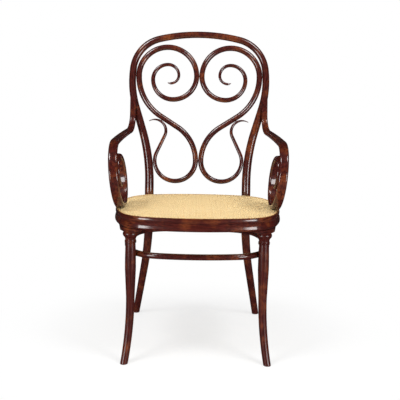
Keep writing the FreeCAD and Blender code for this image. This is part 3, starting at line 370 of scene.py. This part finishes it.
# Cane's fibres, and its joints, whose pattern jumps on from strand to strand
FIBRE_LENGTH = 25 * MM
FIBRE_WIDTH = 0.25 * MM
JOINT_LENGTH = 12 * MM
STRAND_JUMP = 7.3
CANE_IOR = 1.48
CANE_ROUGHNESS = 0.42

# Worn spots of the steel in mm, and the depth of the grain's and the fibres' relief
STEEL_SPOT = 2.0
RELIEF = 0.1 * MM


def new_material(name):
    """Material, its node tree and its surface shader."""
    material = bpy.data.materials.new(name)
    material.use_nodes = True
    tree = material.node_tree
    return material, tree, tree.nodes["Principled BSDF"]


def object_place(tree):
    """Place on the object in millimetres."""
    coords = node(tree, "ShaderNodeTexCoord").outputs["Object"]
    return node(tree, "ShaderNodeVectorMath", {0: coords, "Scale": 1 / MM},
                operation="SCALE").outputs[0]


def upright_grain(tree):
    """Grain that runs up the wood: height shrunk, so that streaks are long in it."""
    place = object_place(tree)
    return node(tree, "ShaderNodeMapping", {
        "Vector": place, "Scale": (1, 1, 1 / GRAIN_STRETCH)}).outputs[0]


def ring_grain(tree):
    """Grain that runs round the seat's middle: bearing as a length, distance and height."""
    place = object_place(tree)
    shifted = node(tree, "ShaderNodeMapping", {
        "Vector": place, "Location": (0, -CENTRE_Y / MM, 0)}).outputs[0]
    parts = node(tree, "ShaderNodeSeparateXYZ", {0: shifted})
    bearing = node(tree, "ShaderNodeMath", {0: parts.outputs["Y"], 1: parts.outputs["X"]},
                   operation="ARCTAN2").outputs[0]
    length = node(tree, "ShaderNodeMath", {0: bearing, 1: HALF_WIDTH / MM / GRAIN_STRETCH},
                  operation="MULTIPLY").outputs[0]
    level = node(tree, "ShaderNodeCombineXYZ", {0: parts.outputs["X"], 1: parts.outputs["Y"]})
    distance = node(tree, "ShaderNodeVectorMath", {0: level.outputs[0]},
                    operation="LENGTH").outputs["Value"]
    return node(tree, "ShaderNodeCombineXYZ", {
        0: length, 1: distance, 2: parts.outputs["Z"]}).outputs[0]


def bent_grain(tree):
    """Grain of the thin bent rods, which turn every way: short flecks with no one direction."""
    place = object_place(tree)
    return node(tree, "ShaderNodeMapping", {
        "Vector": place, "Scale": (FLECK_SCALE, FLECK_SCALE, FLECK_SCALE)}).outputs[0]


def stain_colour(tree, streaks):
    """Deep stain with lighter streaks, and warm in patches where it took less."""
    patches = node(tree, "ShaderNodeTexNoise", {
        "Vector": object_place(tree), "Scale": 1 / STAIN_PATCH, "Detail": 3.0, "Roughness": 0.55,
    }).outputs["Fac"]
    streak_share = node(tree, "ShaderNodeMapRange", {
        "Value": streaks, "From Min": 0.32, "From Max": 0.68}).outputs[0]
    patch_share = node(tree, "ShaderNodeMapRange", {
        "Value": patches, "From Min": 0.5, "From Max": 0.78}).outputs[0]
    warm_share = node(tree, "ShaderNodeMath", {0: patch_share, 1: streak_share},
                      operation="MULTIPLY").outputs[0]
    stain = node(tree, "ShaderNodeMix", {
        0: streak_share, 6: linear(WOOD_DEEP), 7: linear(WOOD_MID)}, data_type="RGBA").outputs[2]
    return node(tree, "ShaderNodeMix", {
        0: warm_share, 6: stain, 7: linear(WOOD_WARM)}, data_type="RGBA").outputs[2]


def stained_beech(name, grain, polish):
    """Steam-bent beech with a dark red-brown stain, polished with shellac: the stain lies deep
    with warmer streaks and patches where it took less, under a clear gloss."""
    material, tree, shader = new_material(name)
    streaks = node(tree, "ShaderNodeTexNoise", {
        "Vector": grain(tree), "Scale": 1 / GRAIN_WIDTH, "Detail": 5.0, "Roughness": 0.6,
    }).outputs["Fac"]
    rough = node(tree, "ShaderNodeMapRange", {
        "Value": streaks, "From Min": 0.3, "From Max": 0.7, "To Min": 0.3, "To Max": 0.42,
    }).outputs[0]
    bump = node(tree, "ShaderNodeBump", {
        "Height": streaks, "Strength": 0.05, "Distance": RELIEF}).outputs[0]
    connect(tree, shader, {
        "Base Color": stain_colour(tree, streaks),
        "Roughness": rough,
        "Normal": bump,
        "IOR": BEECH_IOR,
        "Specular IOR Level": BEECH_SHEEN,
        "Coat Weight": polish[0],
        "Coat Roughness": polish[1],
        "Coat IOR": SHELLAC_IOR,
    })
    return material


def cane_fibres(tree, uv):
    """Fine fibres along the strands."""
    place = node(tree, "ShaderNodeMapping", {
        "Vector": uv, "Scale": (1 / FIBRE_LENGTH, STRAND_WIDTH / FIBRE_WIDTH, 1)}).outputs[0]
    return node(tree, "ShaderNodeTexNoise", {
        "Vector": place, "Scale": 1.0, "Detail": 3.0}).outputs["Fac"]


def cane_joints(tree, length, strand):
    """Share of the darker joints, which come at other lengths on each strand."""
    place = node(tree, "ShaderNodeCombineXYZ", {0: length, 1: strand}).outputs[0]
    scaled = node(tree, "ShaderNodeMapping", {
        "Vector": place, "Scale": (1 / JOINT_LENGTH, STRAND_JUMP, 1)}).outputs[0]
    joints = node(tree, "ShaderNodeTexNoise", {
        "Vector": scaled, "Scale": 1.0, "Detail": 0.0}).outputs["Fac"]
    return node(tree, "ShaderNodeMapRange", {
        "Value": joints, "From Min": 0.68, "From Max": 0.8, "To Max": 0.6}).outputs[0]


def cane_edges_and_shade(tree, number):
    """Share of the cut edges, tan of their own and darkened as painted shade in the crevices
    between strands, from the distance to the strand's middle.
    """
    across = node(tree, "ShaderNodeMath", {0: number}, operation="FRACT").outputs[0]
    aside = node(tree, "ShaderNodeMath", {0: across, 1: 0.5}, operation="SUBTRACT").outputs[0]
    edge = node(tree, "ShaderNodeMath", {0: aside}, operation="ABSOLUTE").outputs[0]
    return node(tree, "ShaderNodeMapRange", {
        "Value": edge, "From Min": 0.22, "From Max": 0.34, "To Max": 0.45}).outputs[0]


def split_cane(name, pale, straw):
    """Split rattan: glossy straw-coloured skin with fine fibres along it, strands that differ
    a little in tone, a darker joint now and then, and tan cut edges that also carry painted shade
    between the strands."""
    material, tree, shader = new_material(name)
    uv = node(tree, "ShaderNodeUVMap", uv_map="strand").outputs[0]
    parts = node(tree, "ShaderNodeSeparateXYZ", {0: uv})
    length = parts.outputs["X"]
    number = parts.outputs["Y"]
    strand = node(tree, "ShaderNodeMath", {0: number}, operation="FLOOR").outputs[0]
    tone = node(tree, "ShaderNodeTexWhiteNoise", {"W": strand}, noise_dimensions="1D").outputs[0]
    tone_share = node(tree, "ShaderNodeMath", {0: tone, 1: 0.5, 2: 0.1},
                      operation="MULTIPLY_ADD").outputs[0]
    fibres = cane_fibres(tree, uv)
    fibre_share = node(tree, "ShaderNodeMapRange", {
        "Value": fibres, "From Min": 0.35, "From Max": 0.75, "To Max": 0.5}).outputs[0]
    # darker joints, and tan edges that are partly the cane's own colour and partly painted shade
    # between the strands
    darker_share = node(tree, "ShaderNodeMath", {
        0: cane_joints(tree, length, strand), 1: cane_edges_and_shade(tree, number)},
        operation="MAXIMUM").outputs[0]
    skin = node(tree, "ShaderNodeMix", {
        0: tone_share, 6: linear(pale), 7: linear(straw)}, data_type="RGBA").outputs[2]
    streaked = node(tree, "ShaderNodeMix", {
        0: fibre_share, 6: skin, 7: linear(straw)}, data_type="RGBA").outputs[2]
    # painted shade: the tan at the strands' edges also stands in for the shade in the crevices of
    # the weave
    colour = node(tree, "ShaderNodeMix", {
        0: darker_share, 6: streaked, 7: linear(CANE_TAN)}, data_type="RGBA").outputs[2]
    bump = node(tree, "ShaderNodeBump", {
        "Height": fibres, "Strength": 0.2, "Distance": RELIEF}).outputs[0]
    connect(tree, shader, {
        "Base Color": colour,
        "Normal": bump,
        "Roughness": CANE_ROUGHNESS,
        "IOR": CANE_IOR,
    })
    return material


def dark_steel(name):
    """Blackened steel of old screws and bolts: dull, with worn spots that shine more."""
    material, tree, shader = new_material(name)
    wear = node(tree, "ShaderNodeTexNoise", {
        "Vector": object_place(tree), "Scale": 1 / STEEL_SPOT, "Detail": 3.0}).outputs["Fac"]
    colour = node(tree, "ShaderNodeMix", {
        0: wear, 6: linear(STEEL_DARK), 7: linear(STEEL_WORN)}, data_type="RGBA").outputs[2]
    rough = node(tree, "ShaderNodeMapRange", {
        "Value": wear, "To Min": 0.55, "To Max": 0.3}).outputs[0]
    connect(tree, shader, {"Base Color": colour, "Roughness": rough, "Metallic": 1.0})
    return material


def dress_nodes():
    """Gives every solid that stays in view its finish."""
    bent = stained_beech("stained_beech_bent", bent_grain, FULL_POLISH)
    hoop = stained_beech("stained_beech_hoop", upright_grain, FULL_POLISH)
    turned = stained_beech("stained_beech_turned", upright_grain, WORN_POLISH)
    ring = stained_beech("stained_beech_ring", ring_grain, FULL_POLISH)
    steel = dark_steel("blackened_steel")
    by_node = {
        "back_hoop": hoop,
        "front_leg_left": turned,
        "front_leg_right": turned,
        "seat_ring": ring,
        "leg_ring": ring,
        "leg_block_left": ring,
        "leg_block_right": ring,
    }
    slots = {row["node"]: row["material_slot"] for row in frame["record"]["subparts"]}
    for name, solid in frame["nodes"].items():
        finish = steel if slots.get(name) == "steel" else by_node.get(name, bent)
        for place in solid.material_slots:
            place.material = finish


def make_seat():
    """Cane in four directions, its binder and the binder's ties."""
    cane = split_cane("split_cane", CANE_PALE, CANE_STRAW)
    tied = split_cane("tied_cane", CANE_TAN, TIE_BROWN)
    slant = 1 / math.sqrt(2)
    strands = [
        paired_strands("cane_columns", (0.0, 1.0), HALF_WIDTH, HALF_DEPTH, 1),
        paired_strands("cane_rows", (1.0, 0.0), HALF_DEPTH, HALF_WIDTH, 1),
        diagonal_strands("cane_diagonals_rising", (slant, slant), 1),
        diagonal_strands("cane_diagonals_falling", (slant, -slant), -1),
    ]
    ties = binder_ties()
    edging = [rim_binder(), ties]
    for piece in strands + edging:
        piece.data.materials.append(tied if piece == ties else cane)
        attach(piece, "root")
    for piece in strands:
        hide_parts("cane_panel")
    for piece in edging:
        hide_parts("cane_binder")


# Studio

# Focus is in picture elements, and shift in widths of the picture
CAMERA_PLACE = Vector((-9.05, -2324.3, 840.6)) * MM
CAMERA_PITCH = 0.1252
CAMERA_YAW = 0.0066
CAMERA_ROLL = 0.0157
CAMERA_FOCUS = 715.9
CAMERA_SHIFT = -0.06
IMAGE_SIZE = 400
SENSOR = 36.0

# Softboxes on the right, mirrored to the left
HIGH_PLACE = Vector((1.3, -1.2, 3.0))
HIGH_TARGET = Vector((0.0, 0.0, 0.5))
HIGH_SIZE = (0.9, 0.8)
HIGH_WATTS = 37
LOW_PLACE = Vector((1.6, -1.9, 0.55))
LOW_TARGET = Vector((0.0, 0.0, 0.55))
LOW_SIZE = (0.9, 0.9)
LOW_WATTS = 26

# Share of the white world's strength that lights the object
AMBIENT = 0.45

# White is laid over the floor: by this share near the chair, and wholly from the far distance on
FLOOR_REACH = 30.0
WHITE_SHARE = 0.65
WHITE_NEAR = 0.25
WHITE_FAR = 0.75

DRUM_RADIUS = 6.0
DRUM_FOOT = 3 * MM
DRUM_TOP = 5.0
DRUM_SIDES = 48

WHITE = "#ffffff"
FLOOR_PALE = "#f7f7f7"
CARD_DARK = "#2a2a2c"
MATT = 0.9


def make_camera():
    """Camera at the photograph's view: pitched down, turned and rolled a little, with the
    middle of the picture a little below its axis."""
    data = bpy.data.cameras.new("camera")
    data.sensor_width = SENSOR
    data.lens = CAMERA_FOCUS / IMAGE_SIZE * SENSOR
    data.shift_y = CAMERA_SHIFT
    ahead = Vector((math.sin(CAMERA_YAW) * math.cos(CAMERA_PITCH),
                    math.cos(CAMERA_YAW) * math.cos(CAMERA_PITCH), -math.sin(CAMERA_PITCH)))
    right = Vector((math.cos(CAMERA_YAW), -math.sin(CAMERA_YAW), 0.0))
    up = right.cross(ahead)
    rolled_right = right * math.cos(CAMERA_ROLL) + up * math.sin(CAMERA_ROLL)
    rolled_up = up * math.cos(CAMERA_ROLL) - right * math.sin(CAMERA_ROLL)
    turn = Matrix((rolled_right, rolled_up, -ahead)).transposed()
    camera = bpy.data.objects.new("camera", data)
    camera.matrix_world = Matrix.Translation(CAMERA_PLACE) @ turn.to_4x4()
    bpy.context.scene.collection.objects.link(camera)
    bpy.context.scene.camera = camera


def make_lamp(name, place, target, size, watts):
    """Softbox: a rectangular lamp that faces a target."""
    data = bpy.data.lights.new(name, "AREA")
    data.shape = "RECTANGLE"
    data.size = size[0]
    data.size_y = size[1]
    data.energy = watts
    lamp = bpy.data.objects.new(name, data)
    facing = (target - place).to_track_quat("-Z", "Y")
    lamp.matrix_world = Matrix.Translation(place) @ facing.to_matrix().to_4x4()
    bpy.context.scene.collection.objects.link(lamp)


def make_lamps():
    """A high and a low softbox on either side, in front of the chair."""
    for side, where in ((-1, "left"), (1, "right")):
        mirror = Vector((side, 1, 1))
        make_lamp("high_softbox_" + where, HIGH_PLACE * mirror, HIGH_TARGET, HIGH_SIZE, HIGH_WATTS)
        make_lamp("low_softbox_" + where, LOW_PLACE * mirror, LOW_TARGET, LOW_SIZE, LOW_WATTS)


def seen_directly(tree):
    """1 for what the camera sees, by itself, in a mirror or through glass, and 0 for light."""
    path = node(tree, "ShaderNodeLightPath")
    seen = node(tree, "ShaderNodeMath", {
        0: path.outputs["Is Camera Ray"], 1: path.outputs["Is Glossy Ray"]}, operation="MAXIMUM")
    return node(tree, "ShaderNodeMath", {
        0: seen.outputs[0], 1: path.outputs["Is Transmission Ray"]}, operation="MAXIMUM").outputs[0]


def make_world():
    """White where it is seen, and a soft even light of less strength on the object."""
    world = bpy.data.worlds.new("studio")
    world.use_nodes = True
    tree = world.node_tree
    strength = node(tree, "ShaderNodeMapRange", {
        "Value": seen_directly(tree), "To Min": AMBIENT, "To Max": 1.0}).outputs[0]
    connect(tree, tree.nodes["Background"], {"Color": linear(WHITE), "Strength": strength})
    bpy.context.scene.world = world


def studio_piece(name, points, faces, material):
    """Object of the studio, which is no piece of the chair."""
    mesh = bpy.data.meshes.new(name)
    mesh.from_pydata(points, [], faces)
    mesh.materials.append(material)
    piece = bpy.data.objects.new(name, mesh)
    bpy.context.scene.collection.objects.link(piece)
    return piece


def make_floor():
    """Pale floor that keeps a soft shadow near the chair and turns plain white further off."""
    material, tree, shader = new_material("pale_floor")
    connect(tree, shader, {
        "Base Color": linear(FLOOR_PALE), "Roughness": MATT, "Specular IOR Level": 0.0})
    white = node(tree, "ShaderNodeEmission", {"Color": linear(WHITE), "Strength": 1.0})
    coords = node(tree, "ShaderNodeTexCoord").outputs["Object"]
    distance = node(tree, "ShaderNodeVectorMath", {0: coords}, operation="LENGTH").outputs["Value"]
    far = node(tree, "ShaderNodeMapRange", {
        "Value": distance, "From Min": WHITE_NEAR, "From Max": WHITE_FAR, "To Min": WHITE_SHARE,
    }, interpolation_type="SMOOTHSTEP")
    share = node(tree, "ShaderNodeMath", {0: far.outputs[0], 1: seen_directly(tree)},
                 operation="MULTIPLY").outputs[0]
    mixed = node(tree, "ShaderNodeMixShader", {
        0: share, 1: shader.outputs[0], 2: white.outputs[0]}).outputs[0]
    connect(tree, tree.nodes["Material Output"], {"Surface": mixed})
    corners = [(-FLOOR_REACH, -FLOOR_REACH, 0), (FLOOR_REACH, -FLOOR_REACH, 0),
               (FLOOR_REACH, FLOOR_REACH, 0), (-FLOOR_REACH, FLOOR_REACH, 0)]
    studio_piece("floor", corners, [(0, 1, 2, 3)], material)


def make_cards():
    """Drum of dark cards round the chair, closed above and just over the floor. It is out of
    the picture and throws no shadow: only the polish reflects it, between the softboxes."""
    material, tree, shader = new_material("dark_card")
    connect(tree, shader, {"Base Color": linear(CARD_DARK), "Roughness": MATT})
    bearing = np.linspace(0, 2 * math.pi, DRUM_SIDES, endpoint=False)
    ring = np.stack([np.cos(bearing), np.sin(bearing)], -1) * DRUM_RADIUS
    low = np.column_stack([ring, np.full(DRUM_SIDES, DRUM_FOOT)])
    high = np.column_stack([ring, np.full(DRUM_SIDES, DRUM_TOP)])
    here = np.arange(DRUM_SIDES)
    there = np.roll(here, -1)
    walls = np.stack([here, there, there + DRUM_SIDES, here + DRUM_SIDES], -1)
    ends = [here.tolist(), (here + DRUM_SIDES).tolist()]
    points = np.concatenate([low, high]).tolist()
    cards = studio_piece("dark_cards", points, walls.tolist() + ends, material)
    cards.visible_camera = False
    cards.visible_diffuse = False
    cards.visible_shadow = False
    cards.visible_transmission = False


make_seat()
dress_nodes()
make_camera()
make_world()
make_floor()
make_cards()
make_lamps()
bpy.context.scene.view_settings.view_transform = "Standard"
